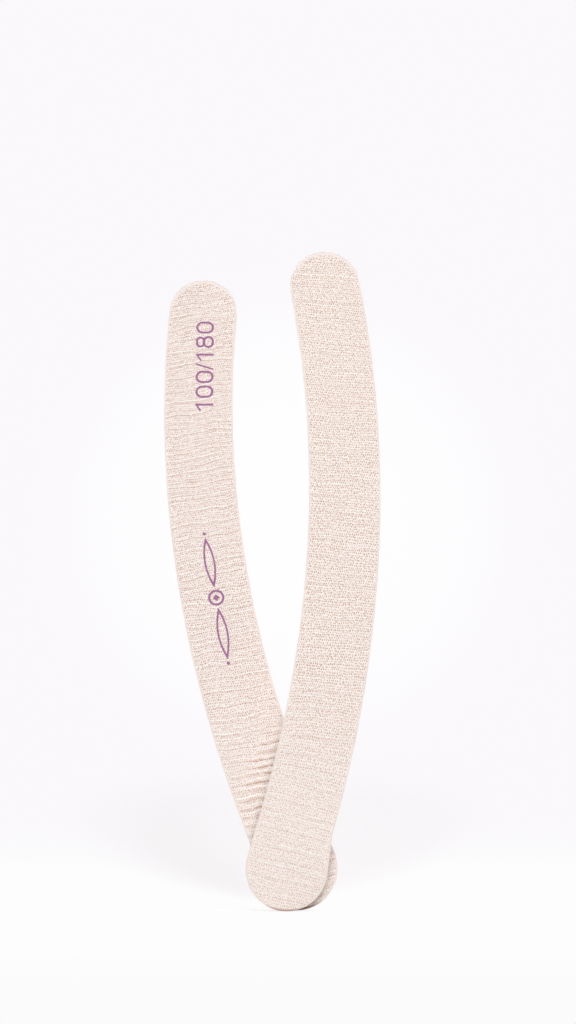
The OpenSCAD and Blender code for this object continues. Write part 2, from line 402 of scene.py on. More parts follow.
def ridge_group(name, finish):
    """Geometry nodes that raise and sink a face in wavy ridges across the board.

    The ridges' height, within RELIEF_LIMITS, how far they show at each point, the place on the lying
    board and how far the ridges sway along it stay on the mesh, so that the colour follows them.
    """
    tree, given, made = new_mesh_group(name)
    place = place_on_board(tree)
    across, along = split(tree, place)[:2]
    flat = add_node(tree, "ShaderNodeCombineXYZ", (0, across), (1, along)).outputs[0]
    flat = shift_by(tree, flat, finish["start"])

    sway = sum_up(tree, "MULTIPLY", noise(tree, flat, finish["sway_scale"]), finish["sway"])
    ripple = sum_up(tree, "MULTIPLY", noise(tree, flat, finish["ripple_scale"]), finish["ripple"])
    shift = sum_up(tree, "ADD", sway, ripple)
    if "skew" in finish:
        near_foot = between(tree, along, *finish["skew"]["fall"])
        lean = sum_up(tree, "MULTIPLY", across, finish["skew"]["slope"])
        shift = sum_up(tree, "MULTIPLY_ADD", near_foot, lean, shift)
    relief = None
    for period, gain_scale, gain, step in finish["waves"]:
        spot = shift_by(tree, flat, (step, step, 0))
        slip = sum_up(tree, "MULTIPLY", noise(tree, spot, finish["slip_scale"]), finish["slip"])
        bend = sum_up(tree, "MULTIPLY_ADD", shift, 2 * math.pi / period, slip)
        ridges = wave(tree, spot, period, bend, gain_scale, gain)
        relief = ridges if relief is None else sum_up(tree, "ADD", relief, ridges)
    if "deep" in finish:
        deep = finish["deep"]
        slip = sum_up(tree, "MULTIPLY", noise(tree, flat, finish["slip_scale"]), deep["slip"])
        bend = sum_up(tree, "MULTIPLY_ADD", shift, 2 * math.pi / deep["period"], slip)
        relief = sum_up(tree, "ADD", relief, deep_ridges(tree, flat, bend, deep))
    lowest, highest = RELIEF_LIMITS
    relief = sum_up(tree, "MAXIMUM", sum_up(tree, "MINIMUM", relief, highest), lowest)

    off_band = sum_up(tree, "SUBTRACT", 1.0, end_band(tree, place))
    share = sum_up(tree, "MULTIPLY", value_on_points(tree, "worked"), off_band)
    rise = sum_up(tree, "MULTIPLY", sum_up(tree, "MULTIPLY", relief, share), finish["height"] * MM)
    rise = sum_up(tree, "MULTIPLY", rise, finish["side"])
    offset = add_node(tree, "ShaderNodeCombineXYZ", (2, rise)).outputs[0]

    geometry = keep_on_points(tree, given.outputs[0], "relief", "FLOAT", relief)
    geometry = keep_on_points(tree, geometry, "face_share", "FLOAT", share)
    geometry = keep_on_points(tree, geometry, "board_place", "FLOAT_VECTOR", flat)
    geometry = keep_on_points(tree, geometry, "row_shift", "FLOAT", shift)
    move_points(tree, geometry, offset, made)
    return tree


def work_over(piece, group):
    """Runs a geometry node group over a piece, and keeps what it makes."""
    modifier = piece.modifiers.new(group.name, "NODES")
    modifier.node_group = group
    apply_modifier(piece, modifier)


# Deepest and highest that the ridges get, as shares of their height
RELIEF_LIMITS = (-1.5, 1.0)

# Each wave of ridges: its period, the scale of its gain, the gain's middle and range, and a start
COARSE_FINISH = {
    "side": 1,
    "face": 0.0,
    "thickness": COARSE_T,
    "rest_depth": 0.085,
    "rim_drop": 0.09,
    "height": 0.06,
    "start": (11.0, 3.0, 0.0),
    "sway_scale": (0.07, 0.05, 0.0),
    "sway": 2.4,
    "ripple_scale": (0.2, 0.16, 0.0),
    "ripple": 1.5,
    "slip_scale": (0.3, 0.5, 0.0),
    "slip": 5.0,
    "waves": (
        (1.9, (0.14, 0.4, 0.0), (0.28, 0.6), 0.0),
        (1.25, (0.2, 0.5, 0.0), (0.3, 0.7), 31.0),
        (0.95, (0.22, 0.6, 0.0), (0.22, 0.6), 57.0),
    ),
    # Deeper ridges near where the boards cross; the grit's deep colour paints shade into their
    # grooves
    "deep": {
        "period": 2.05,
        "gain": 0.78,
        "slip": 3.0,
        "toward": (-0.903, 0.427, 0.0),
        "reach": (-21.0, -26.5),
        "rise": (-33.0, -43.0),
        "end": (-78.0, -72.0),
    },
}
FINE_FINISH = {
    "side": -1,
    "face": -BOARD_T,
    "thickness": FINE_T,
    "rest_depth": 0.055,
    "rim_drop": 0.06,
    "height": 0.03,
    "start": (-23.0, 41.0, 0.0),
    "sway_scale": (0.06, 0.04, 0.0),
    "sway": 1.5,
    "ripple_scale": (0.2, 0.16, 0.0),
    "ripple": 0.7,
    "slip_scale": (0.3, 0.6, 0.0),
    "slip": 3.0,
    "waves": (
        (2.4, (0.1, 0.5, 0.0), (0.16, 0.7), 0.0),
        (1.5, (0.14, 0.5, 0.0), (0.16, 0.7), 17.0),
        (0.82, (0.16, 0.6, 0.0), (0.12, 0.7), 43.0),
    ),
    "skew": {"slope": -0.16, "fall": (-42.0, -64.0)},
}


def coat_section(finish):
    """Half of a coat's cross-section, with how far the ridges show at each point."""
    points, shares = [], []
    columns = round((HALF_W - RIM_W) / COLUMN)
    edge_distances = [HALF_W - i * (HALF_W - RIM_W) / columns for i in range(columns + 1)]
    for edge_distance in edge_distances + list(RIM_ROWS):
        pressed = max(0.0, 1 - edge_distance / RIM_W) ** RIM_CURVE
        points.append((HALF_W - edge_distance, finish["rest_depth"] + finish["rim_drop"] * pressed))
        shares.append(smooth((edge_distance - RIDGES_FROM) / (RIDGES_FULL - RIDGES_FROM)))
    points += [(HALF_W, finish["thickness"]), (0.0, finish["thickness"])]
    shares += [0.0, 0.0]
    heights = [(across, finish["face"] - finish["side"] * depth) for across, depth in points]
    return heights, shares


def make_coat(name, finish, row):
    """A coat of grit: a thin sheet with ridges over its face and a smooth, pressed rim."""
    section, shares = coat_section(finish)
    coat = spin_board(name, section, shares, row)
    work_over(coat, ridge_group(name + "_ridges", finish))
    return coat


def chord_height(tilt):
    return FOOT_R + FOOT_SHIFT * math.sin(tilt) + HALF_SPAN * math.cos(tilt)


def bulge_reach(tilt):
    return BEND_R + HALF_W - ARC_X * math.cos(tilt)


def standing(tilt):
    """Stands the lying board on its foot, with its printed face to the viewer."""
    turned = Matrix.Rotation(-tilt, 4, "Y") @ Matrix.Rotation(math.pi / 2, 4, "X")
    return Matrix.Translation((0, 0, chord_height(tilt) * MM)) @ turned


def rear_place():
    """The rear board stands on its lower back edge and leans back."""
    at_x = bulge_reach(REAR_TILT) * MM + cad_low.x
    at_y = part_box("rear_coarse_grit")[0].y
    lift = Matrix.Translation((at_x, at_y, BOARD_T * math.sin(REAR_LEAN) * MM))
    return lift @ Matrix.Rotation(-REAR_LEAN, 4, "X") @ standing(REAR_TILT)


def front_place():
    """The front board is turned about, so that its plain face is in front."""
    at_x = cad_high.x - bulge_reach(FRONT_TILT) * MM
    at_y = cad_low.y + BOARD_T * MM
    shift = Matrix.Translation((at_x, at_y, 0))
    return shift @ Matrix.Rotation(math.pi, 4, "Z") @ standing(FRONT_TILT)


BOARDS = {"rear": rear_place(), "front": front_place()}


def stand_up(piece, layer, material):
    """Puts a copy of a finished piece on each board, in the place of its CAD layer."""
    piece.data.materials.clear()
    piece.data.materials.append(material)
    copies = []
    for board, place in BOARDS.items():
        copy = piece.copy()
        copy.data = piece.data.copy()
        copy.name = board + "_" + layer + "_finish"
        bpy.context.scene.collection.objects.link(copy)
        copy.matrix_world = place
        only(copy)
        bpy.ops.object.transform_apply(location=True, rotation=True, scale=True)
        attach(copy, board + "_board")
        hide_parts(board + "_" + layer)
        copies.append(copy)
    bpy.data.objects.remove(piece)
    return copies


def new_material(name):
    """An empty material, as (material, its nodes, its shader)."""
    material = bpy.data.materials.new(name)
    material.use_nodes = True
    tree = material.node_tree
    return material, tree, tree.nodes["Principled BSDF"]


def srgb(red, green, blue):
    """A colour as the eye reads it, from 0 to 255, as the shader's own linear values."""
    parts = [part / 255 for part in (red, green, blue)]
    return (*[p / 12.92 if p <= 0.04045 else ((p + 0.055) / 1.055) ** 2.4 for p in parts], 1.0)


def blend_colours(tree, share, first, second):
    inputs = [(0, share), (6, first), (7, second)]
    return add_node(tree, "ShaderNodeMix", *inputs, data_type="RGBA").outputs[2]


# Share of a dot's or grain's radius inside which it is full
FULL_WITHIN = 0.4


def speckle_group():
    """Small round grains: a mask of those in a share of the cells, and a soft height for all."""
    tree, given, made = new_group(
        "speckle",
        "ShaderNodeTree",
        [
            ("Place", "NodeSocketVector", None),
            ("Cells per mm", "NodeSocketFloat", 2.0),
            ("Share", "NodeSocketFloat", 0.5),
            ("Radius", "NodeSocketFloat", 0.4),
        ],
        [("Mask", "NodeSocketFloat"), ("Height", "NodeSocketFloat")],
    )
    inputs = [("Vector", given.outputs["Place"]), ("Scale", given.outputs["Cells per mm"])]
    cells = add_node(tree, "ShaderNodeTexVoronoi", *inputs, feature="F1")
    cell_value = add_node(tree, "ShaderNodeSeparateColor", (0, cells.outputs["Color"]))
    chosen = sum_up(tree, "LESS_THAN", cell_value.outputs[0], given.outputs["Share"])
    inner = sum_up(tree, "MULTIPLY", given.outputs["Radius"], FULL_WITHIN)
    reach = between(tree, cells.outputs["Distance"], given.outputs["Radius"], inner)
    mask = sum_up(tree, "MULTIPLY", chosen, reach)
    tree.links.new(mask, made.inputs["Mask"])
    tree.links.new(reach, made.inputs["Height"])
    return tree


def dot_rows_group():
    """Dots in staggered rows across the board: how dark each spot is, and which dot it belongs to."""
    tree, given, made = new_group(
        "dot_rows",
        "ShaderNodeTree",
        [
            ("Place", "NodeSocketVector", None),
            ("Shift", "NodeSocketFloat", 0.0),
            ("Spacing", "NodeSocketFloat", 0.64),
            ("Row Spacing", "NodeSocketFloat", 0.8),
            ("Disorder", "NodeSocketFloat", 0.4),
            ("Radius", "NodeSocketFloat", 0.35),
            ("Tallness", "NodeSocketFloat", 1.3),
        ],
        [("Mask", "NodeSocketFloat"), ("Dot", "NodeSocketFloat")],
    )
    parts = split(tree, given.outputs["Place"])
    along = sum_up(tree, "ADD", parts[1], given.outputs["Shift"])
    along = sum_up(tree, "DIVIDE", along, given.outputs["Row Spacing"])
    stagger = sum_up(tree, "MULTIPLY", sum_up(tree, "FLOOR", along), 0.5)
    across = sum_up(tree, "DIVIDE", parts[0], given.outputs["Spacing"])
    across = sum_up(tree, "ADD", across, stagger)
    centring = sum_up(tree, "MULTIPLY_ADD", given.outputs["Disorder"], 0.5, -0.5)
    cell_place = add_node(
        tree,
        "ShaderNodeCombineXYZ",
        (0, sum_up(tree, "ADD", across, centring)),
        (1, sum_up(tree, "ADD", along, centring)),
    ).outputs[0]
    inputs = [("Vector", cell_place), ("Scale", 1.0), ("Randomness", given.outputs["Disorder"])]
    cells = add_node(
        tree, "ShaderNodeTexVoronoi", *inputs, feature="F1", voronoi_dimensions="2D"
    )
    inputs = [(0, cell_place), (1, cells.outputs["Position"])]
    away = add_node(tree, "ShaderNodeVectorMath", *inputs, operation="SUBTRACT").outputs[0]
    parts = split(tree, away)
    tall = sum_up(tree, "DIVIDE", parts[1], given.outputs["Tallness"])
    away = add_node(tree, "ShaderNodeCombineXYZ", (0, parts[0]), (1, tall)).outputs[0]
    away = add_node(tree, "ShaderNodeVectorMath", (0, away), operation="LENGTH").outputs["Value"]
    inner = sum_up(tree, "MULTIPLY", given.outputs["Radius"], FULL_WITHIN)
    mask = between(tree, away, given.outputs["Radius"], inner)
    tree.links.new(mask, made.inputs["Mask"])
    cell_value = add_node(tree, "ShaderNodeSeparateColor", (0, cells.outputs["Color"]))
    tree.links.new(cell_value.outputs[0], made.inputs["Dot"])
    return tree


def mottle_group():
    """Slow, cloudy change over a surface, from 0 to 1."""
    tree, given, made = new_group(
        "mottle",
        "ShaderNodeTree",
        [("Place", "NodeSocketVector", None), ("Cells per mm", "NodeSocketFloat", 0.2)],
        [("Mask", "NodeSocketFloat")],
    )
    inputs = [("Vector", given.outputs["Place"]), ("Scale", given.outputs["Cells per mm"])]
    cloud = add_node(tree, "ShaderNodeTexNoise", *inputs, ("Detail", 3.0), ("Roughness", 0.6))
    tree.links.new(between(tree, cloud.outputs[0], 0.3, 0.7), made.inputs["Mask"])
    return tree


SPECKLE = speckle_group()
DOT_ROWS = dot_rows_group()
MOTTLE = mottle_group()


def use_group(tree, group, *inputs):
    node = add_node(tree, "ShaderNodeGroup", node_tree=group)
    for socket, value in inputs:
        feed(tree, node.inputs[socket], value)
    return node


def read_attribute(tree, name, output):
    return add_node(tree, "ShaderNodeAttribute", attribute_name=name).outputs[output]


def object_place(tree):
    """Place in the object's own coordinates, in millimetres."""
    place = add_node(tree, "ShaderNodeTexCoord").outputs["Object"]
    return stretch(tree, place, (1 / MM, 1 / MM, 1 / MM))


def bump(tree, shader, height, strength, distance):
    inputs = [("Height", height), ("Strength", strength), ("Distance", distance * MM)]
    node = add_node(tree, "ShaderNodeBump", *inputs)
    tree.links.new(node.outputs[0], shader.inputs["Normal"])


# Ridge heights between which the colour goes from groove to body, body to crest, and to the painted
# shade of the deepest grooves
GROOVE_TO_BODY = (-0.9, 0.1)
BODY_TO_CREST = (0.0, 0.9)
GROOVE_TO_SHADED_DEEP = (-0.6, -1.5)

# Shares of the ridges' full height between which the rim's colour gives way to the face's
RIM_TO_FACE = (0.05, 0.6)

# Rim: its colours along the sides and where painted contact shade darkens it at the floor, and the
# heights over the centre of the top end, and over the foot's lowest point, between which its colour
# changes
RIM = srgb(234, 222, 215)
FLOOR_CONTACT_SHADE = srgb(188, 158, 144)
RIM_AT_TOP = (-2.0, 5.0)
RIM_AT_FLOOR = (1.4, 0.3)

# Dots: their radius as a share of a cell, and how much the clouds and the grooves strengthen them
DOT_RADIUS = 0.4
DOTS_BY_CLOUD = 0.15
DOTS_BY_GROOVE = 0.15

# Colour of the light grains between the dots
GRAIN = srgb(255, 254, 252)

# Looks of the two coats. Spacings are in millimetres, and the dots weaken by fade_share over the
# heights in fade, which are up the board from the start of its finish.
# In each look, deep is painted shade: the dark brown that the deepest grooves take
GRIT_LOOKS = {
    "coarse": {
        "deep": srgb(198, 164, 147),
        "groove": srgb(227, 208, 199),
        "body": srgb(243, 232, 226),
        "crest": srgb(251, 246, 241),
        "end": srgb(240, 229, 224),
        "dot": srgb(174, 120, 92),
        "dots": {"Spacing": 0.6, "Row Spacing": 0.66, "Disorder": 0.34, "Tallness": 1.05},
        "dot_strength": (0.32, 0.9),
        "grain_strength": 0.75,
        "fade": (-17.0, -62.0),
        "fade_share": 0.3,
    },
    "fine": {
        "deep": srgb(212, 186, 172),
        "groove": srgb(229, 213, 206),
        "body": srgb(244, 233, 227),
        "crest": srgb(250, 246, 243),
        "end": srgb(240, 229, 225),
        "dot": srgb(174, 124, 82),
        "dots": {"Spacing": 0.55, "Row Spacing": 0.69, "Disorder": 0.46, "Tallness": 1.1},
        "dot_strength": (0.42, 0.92),
        "grain_strength": 0.6,
        "fade": (21.0, -34.0),
        "fade_share": 0.42,
    },
}


def grit_material(name, look, start_up):
    """Cream abrasive: light crests, tan grooves, rows of small dark dots, and a smooth rim.

    start_up is how far up the board its finish starts.
    """
    material, tree, shader = new_material(name)
    place = read_attribute(tree, "board_place", "Vector")
    relief = read_attribute(tree, "relief", "Fac")
    shift = read_attribute(tree, "row_shift", "Fac")
    face_share = read_attribute(tree, "face_share", "Fac")

    share = between(tree, relief, *GROOVE_TO_BODY)
    colour = blend_colours(tree, share, look["groove"], look["body"])
    colour = blend_colours(tree, between(tree, relief, *BODY_TO_CREST), colour, look["crest"])
    # Painted shade: the deepest grooves darken to brown
    colour = blend_colours(tree, between(tree, relief, *GROOVE_TO_SHADED_DEEP), colour, look["deep"])

    inputs = [("Place", place), ("Shift", shift), ("Radius", DOT_RADIUS), *look["dots"].items()]
    dots = use_group(tree, DOT_ROWS, *inputs)
    mottle = use_group(tree, MOTTLE, ("Place", place), ("Cells per mm", 0.5))
    weakest, strongest = look["dot_strength"]
    strength = sum_up(tree, "MULTIPLY_ADD", dots.outputs["Dot"], strongest - weakest, weakest)
    strength = sum_up(tree, "MULTIPLY_ADD", mottle.outputs["Mask"], DOTS_BY_CLOUD, strength)
    strength = sum_up(tree, "MULTIPLY_ADD", relief, -DOTS_BY_GROOVE, strength)
    up = split(tree, place)[1]
    faded = between(tree, up, *look["fade"])
    faded = sum_up(tree, "MULTIPLY_ADD", faded, -look["fade_share"], 1.0)
    strength = sum_up(tree, "MULTIPLY", strength, faded)
    strength = sum_up(tree, "MULTIPLY", strength, dots.outputs["Mask"])
    on_face = between(tree, face_share, *RIM_TO_FACE)
    colour = blend_colours(tree, sum_up(tree, "MULTIPLY", strength, on_face), colour, look["dot"])
    inputs = [("Place", place), ("Cells per mm", 2.7), ("Share", 0.4), ("Radius", 0.55)]
    grains = use_group(tree, SPECKLE, *inputs)
    light = sum_up(tree, "MULTIPLY", grains.outputs["Mask"], look["grain_strength"])
    light = sum_up(tree, "MULTIPLY", light, on_face)
    colour = blend_colours(tree, light, colour, GRAIN)
    top, floor = start_up + HALF_SPAN, start_up - HALF_SPAN - FOOT_R
    at_top = between(tree, up, *[top + reach for reach in RIM_AT_TOP])
    rim = blend_colours(tree, at_top, RIM, look["end"])
    # Painted shade: the rim turns dark brown along the lowest edge of the foot, where it meets the
    # floor
    shade_at_floor = between(tree, up, *[floor + reach for reach in RIM_AT_FLOOR])
    rim = blend_colours(tree, shade_at_floor, rim, FLOOR_CONTACT_SHADE)
    colour = blend_colours(tree, on_face, rim, colour)
    tree.links.new(colour, shader.inputs["Base Color"])

    inputs = [("Value", grains.outputs["Height"]), ("To Min", 0.95), ("To Max", 0.78)]
    rough = add_node(tree, "ShaderNodeMapRange", *inputs)
    tree.links.new(rough.outputs[0], shader.inputs["Roughness"])
    shader.inputs["Specular IOR Level"].default_value = 0.25
    height = sum_up(tree, "MULTIPLY_ADD", dots.outputs["Mask"], -0.6, grains.outputs["Height"])
    bump(tree, shader, height, 0.25, 0.03)
    return material


def paper_material():
    """Pale backing paper, with fibres that show along its cut edge."""
    material, tree, shader = new_material("backing_paper_cut")
    place = object_place(tree)
    fibres = noise(tree, place, (0.8, 6.0, 0.8), 3.0, 0.7)
    share = between(tree, fibres, -0.2, 0.2)
    colour = blend_colours(tree, share, srgb(232, 217, 206), srgb(246, 238, 231))
    tree.links.new(colour, shader.inputs["Base Color"])
    shader.inputs["Roughness"].default_value = 0.85
    bump(tree, shader, fibres, 0.4, 0.05)
    return material


def film_material():
    """Clear adhesive film between the layers, a little yellow and uneven at the cut."""
    material, tree, shader = new_material("adhesive_film_cut")
    place = object_place(tree)
    mottle = use_group(tree, MOTTLE, ("Place", place), ("Cells per mm", 1.2))
    colour = blend_colours(tree, mottle.outputs[0], srgb(232, 222, 196), srgb(243, 237, 218))
    tree.links.new(colour, shader.inputs["Base Color"])
    rough = sum_up(tree, "MULTIPLY_ADD", mottle.outputs[0], 0.25, 0.35)
    tree.links.new(rough, shader.inputs["Roughness"])
    bump(tree, shader, mottle.outputs[0], 0.3, 0.03)
    return material


def core_material():
    """White sheet plastic, with faint strokes of the die down its cut edge."""
    material, tree, shader = new_material("white_core_cut")
    place = object_place(tree)
    strokes = noise(tree, place, (2.5, 0.4, 2.5), 2.0, 0.6)
    share = between(tree, strokes, -0.25, 0.25)
    colour = blend_colours(tree, share, srgb(243, 242, 239), srgb(252, 251, 249))
    tree.links.new(colour, shader.inputs["Base Color"])
    rough = sum_up(tree, "MULTIPLY_ADD", share, 0.2, 0.3)
    tree.links.new(rough, shader.inputs["Roughness"])
    bump(tree, shader, strokes, 0.25, 0.03)
    return material


def foam_material():
    """Soft white foam, with small darker pores."""
    material, tree, shader = new_material("foam_cells")
    place = read_attribute(tree, "board_place", "Vector")
    inputs = [("Place", place), ("Cells per mm", 5.0), ("Share", 0.75), ("Radius", 0.55)]
    pores = use_group(tree, SPECKLE, *inputs)
    mottle = use_group(tree, MOTTLE, ("Place", place), ("Cells per mm", 0.5))
    colour = blend_colours(tree, mottle.outputs[0], srgb(241, 231, 227), srgb(248, 241, 238))
    dark = sum_up(tree, "MULTIPLY", pores.outputs["Mask"], 0.5)
    colour = blend_colours(tree, dark, colour, srgb(214, 199, 192))
    tree.links.new(colour, shader.inputs["Base Color"])
    rough = sum_up(tree, "MULTIPLY_ADD", mottle.outputs[0], 0.1, 0.85)
    tree.links.new(rough, shader.inputs["Roughness"])
    bump(tree, shader, pores.outputs["Height"], -0.6, 0.05)
    return material


def ink_material():
    """Matt purple printing ink, thinner over the grooves and the sharpest grains."""
    material, tree, shader = new_material("purple_ink")
    place = read_attribute(tree, "board_place", "Vector")
    relief = read_attribute(tree, "relief", "Fac")
    inputs = [("Place", place), ("Cells per mm", 3.1), ("Share", 0.3), ("Radius", 0.4)]
    grains = use_group(tree, SPECKLE, *inputs)
    mottle = use_group(tree, MOTTLE, ("Place", place), ("Cells per mm", 1.5))
    colour = blend_colours(tree, mottle.outputs[0], srgb(144, 87, 131), srgb(163, 106, 148))
    thin = sum_up(tree, "MULTIPLY", between(tree, relief, -0.2, -0.9), 0.35)
    colour = blend_colours(tree, thin, colour, srgb(205, 172, 190))
    worn = sum_up(tree, "MULTIPLY", grains.outputs["Mask"], 0.25)
    colour = blend_colours(tree, worn, colour, srgb(214, 190, 204))
    tree.links.new(colour, shader.inputs["Base Color"])
    rough = sum_up(tree, "MULTIPLY_ADD", mottle.outputs[0], 0.2, 0.6)
    tree.links.new(rough, shader.inputs["Roughness"])
    bump(tree, shader, grains.outputs["Height"], 0.4, 0.03)
    return material


# Foam: how far its cut edge draws in, the rows over the edge, the width of the flat face beside it
# that has points of its own, and how deep and how close its open pores are
FOAM_BOW = 0.11
FOAM_EDGE_ROWS = 8
FOAM_SHOULDER = 0.6
PORE_DEPTH = 0.05
PORES_PER_MM = 2.6


def foam_section(top):
    """Half of a foam cushion's cross-section: flat faces and an edge that draws in."""
    edge = HALF_W - FOAM_INSET
    shoulder = edge - FOAM_SHOULDER
    points = [(0.0, top), (shoulder, top)]
    shares = [0.0, 0.0]
    for i in range(FOAM_EDGE_ROWS + 1):
        share = i / FOAM_EDGE_ROWS
        bow = math.sin(share * math.pi)
        points.append((edge - FOAM_BOW * bow, top - share * FOAM_T))
        shares.append(min(1.0, 1.6 * bow))
    points += [(shoulder, top - FOAM_T), (0.0, top - FOAM_T)]
    shares += [0.0, 0.0]
    return points, shares


def pore_group():
    """Geometry nodes that sink small pores into the cut edge of the foam."""
    tree, given, made = new_mesh_group("foam_pores")
    place = place_on_board(tree)
    inputs = [("Vector", place), ("Scale", PORES_PER_MM)]
    cells = add_node(tree, "ShaderNodeTexVoronoi", *inputs, feature="F1")
    lumps = sum_up(tree, "SUBTRACT", cells.outputs["Distance"], 0.5)
    depth = sum_up(tree, "MULTIPLY", lumps, value_on_points(tree, "worked"))
    depth = sum_up(tree, "MULTIPLY", depth, PORE_DEPTH * MM)
    normal = add_node(tree, "GeometryNodeInputNormal").outputs[0]
    offset = add_node(
        tree, "ShaderNodeVectorMath", (0, normal), ("Scale", depth), operation="SCALE"
    ).outputs[0]
    geometry = keep_on_points(tree, given.outputs[0], "board_place", "FLOAT_VECTOR", place)
    move_points(tree, geometry, offset, made)
    return tree


def make_foam(name, top):
    section, shares = foam_section(top)
    foam = spin_board(name, section, shares, ROW)
    work_over(foam, pore_group())
    return foam


# Ink: its thickness in the CAD, the spacing of its mesh, how far it sinks into the coat and stands
# over it, and how many times taller than the CAD's ink the solid is that cuts its shape
INK_T = 0.03
INK_CELL = 0.15
INK_SINK = 0.012
INK_RISE = 0.03
CUTTER_HEIGHT = 40
CUTTER_MERGE = 0.001

# How far the ink's points look down for the coat, in millimetres, from 1 mm over the board
RAY_LENGTH = 2.0


def cutter_from(node):
    """The printed shape of a rear CAD ink node on the lying board, as a tall solid."""
    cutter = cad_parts[node].copy()
    cutter.data = cutter.data.copy()
    cutter.parent = None
    for mark in list(cutter.keys()):
        del cutter[mark]
    bpy.context.scene.collection.objects.link(cutter)
    cutter.matrix_world = BOARDS["rear"].inverted()
    only(cutter)
    bpy.ops.object.transform_apply(location=True, rotation=True, scale=True)
    bpy.ops.object.mode_set(mode="EDIT")
    bpy.ops.mesh.select_all(action="SELECT")
    bpy.ops.mesh.remove_doubles(threshold=CUTTER_MERGE * MM)
    middle = (0, 0, INK_T / 2 * MM)
    bpy.ops.transform.resize(value=(1, 1, CUTTER_HEIGHT), center_override=middle)
    bpy.ops.object.mode_set(mode="OBJECT")
    return cutter


def ink_group(coat):
    """Geometry nodes that lay the flat ink on the coat's ridges, and keep its thickness.

    The coat is looked up in millimetres, because its triangles are too small for that in metres.
    """
    tree, given, made = new_mesh_group("ink_on_ridges")
    place = place_on_board(tree, scale_up=0.0)
    above = shift_by(tree, place, (0, 0, 1))
    lying = add_node(tree, "GeometryNodeObjectInfo", ("Object", coat)).outputs["Geometry"]
    inputs = [("Geometry", lying), ("Scale", (1 / MM, 1 / MM, 1 / MM))]
    target = add_node(tree, "GeometryNodeTransform", *inputs).outputs[0]
    hit = add_node(
        tree,
        "GeometryNodeRaycast",
        ("Target Geometry", target),
        ("Attribute", value_on_points(tree, "relief")),
        ("Source Position", above),
        ("Ray Direction", (0, 0, -1)),
        ("Ray Length", RAY_LENGTH),
        data_type="FLOAT",
    )
    surface = split(tree, hit.outputs["Hit Position"])[2]
    rise = sum_up(tree, "ADD", surface, COARSE_FINISH["rest_depth"])
    rise = sum_up(tree, "MULTIPLY", rise, MM)
    offset = add_node(tree, "ShaderNodeCombineXYZ", (2, rise)).outputs[0]
    geometry = keep_on_points(
        tree, given.outputs[0], "relief", "FLOAT", hit.outputs["Attribute"]
    )
    geometry = keep_on_points(tree, geometry, "board_place", "FLOAT_VECTOR", place)
    move_points(tree, geometry, offset, made)
    return tree


def make_ink(name, node, group):
    """Printed ink: a thin sheet in the CAD's printed shape, which follows the coat's ridges."""
    cutter = cutter_from(node)
    corners = [Vector(corner) for corner in cutter.bound_box]
    low = Vector([min(corner[k] for corner in corners) for k in range(3)])
    high = Vector([max(corner[k] for corner in corners) for k in range(3)])
    size = high - low
    margin = 2 * INK_CELL * MM
    deselect_all()
    bpy.ops.mesh.primitive_grid_add(
        x_subdivisions=round(size.x / MM / INK_CELL),
        y_subdivisions=round(size.y / MM / INK_CELL),
        size=1,
        location=((low.x + high.x) / 2, (low.y + high.y) / 2, 0),
    )
    ink = bpy.context.object
    ink.name = name
    bpy.ops.transform.resize(value=(size.x + margin, size.y + margin, 1))
    bpy.ops.object.transform_apply(location=True, rotation=True, scale=True)
    bpy.ops.object.mode_set(mode="EDIT")
    bpy.ops.mesh.select_all(action="SELECT")
    rest = -COARSE_FINISH["rest_depth"]
    bpy.ops.transform.translate(value=(0, 0, (rest - INK_SINK) * MM))
    bpy.ops.mesh.extrude_region_move(
        TRANSFORM_OT_translate={"value": (0, 0, (INK_SINK + INK_RISE) * MM)}
    )
    bpy.ops.mesh.select_all(action="SELECT")
    bpy.ops.mesh.normals_make_consistent(inside=False)
    bpy.ops.object.mode_set(mode="OBJECT")
    cut = ink.modifiers.new("printed_shape", "BOOLEAN")
    cut.operation = "INTERSECT"
    cut.solver = "EXACT"
    cut.object = cutter
    apply_modifier(ink, cut)
    work_over(ink, group)
    only(ink)
    bpy.ops.object.shade_smooth_by_angle(angle=SMOOTH_UNDER)
    bpy.data.objects.remove(cutter)
    return ink


def dress(layers, material):
    """Gives CAD layers of both boards their finish."""
    for layer in layers:
        for board in BOARDS:
            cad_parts[board + "_" + layer].material_slots[0].material = material


def make_boards():
    coarse = make_coat("coarse_coat", COARSE_FINISH, ROW)
    fine = make_coat("fine_coat", FINE_FINISH, FINE_ROW)
    ink = ink_material()
    on_ridges = ink_group(coarse)
    for print_name in ("numerals_ink", "ornament_ink"):
        stand_up(make_ink(print_name, "rear_" + print_name, on_ridges), print_name, ink)
    for grit, coat, finish in (("coarse", coarse, COARSE_FINISH), ("fine", fine, FINE_FINISH)):
        look = grit_material(grit + "_grit_coat", GRIT_LOOKS[grit], finish["start"][1])
        stand_up(coat, grit + "_grit", look)
    foam = foam_material()
    coarse_foam_top = -(COARSE_T + PAPER_T + FILM_T)
    fine_foam_top = coarse_foam_top - FOAM_T - 2 * FILM_T - CORE_T
    for layer, top in (("coarse_foam", coarse_foam_top), ("fine_foam", fine_foam_top)):
        for cushion in stand_up(make_foam(layer, top), layer, foam):
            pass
    dress(["coarse_paper", "fine_paper"], paper_material())
    films = ["coarse_outer", "coarse_inner", "fine_outer", "fine_inner"]
    dress([film + "_adhesive" for film in films], film_material())
    dress(["core"], core_material())


def make_camera():
    camera = bpy.data.objects.new("camera", bpy.data.cameras.new("camera"))
    bpy.context.scene.collection.objects.link(camera)
    camera.data.lens = LENS
    camera.data.sensor_width = 36
    camera.data.clip_start = 0.01
    camera.location = [part * MM for part in CAMERA_AT]
    camera.rotation_euler = (math.pi / 2 + CAMERA_UP, 0, 0)
    bpy.context.scene.camera = camera


# Strength of the soft light from all round
SOFT_LIGHT = 0.3

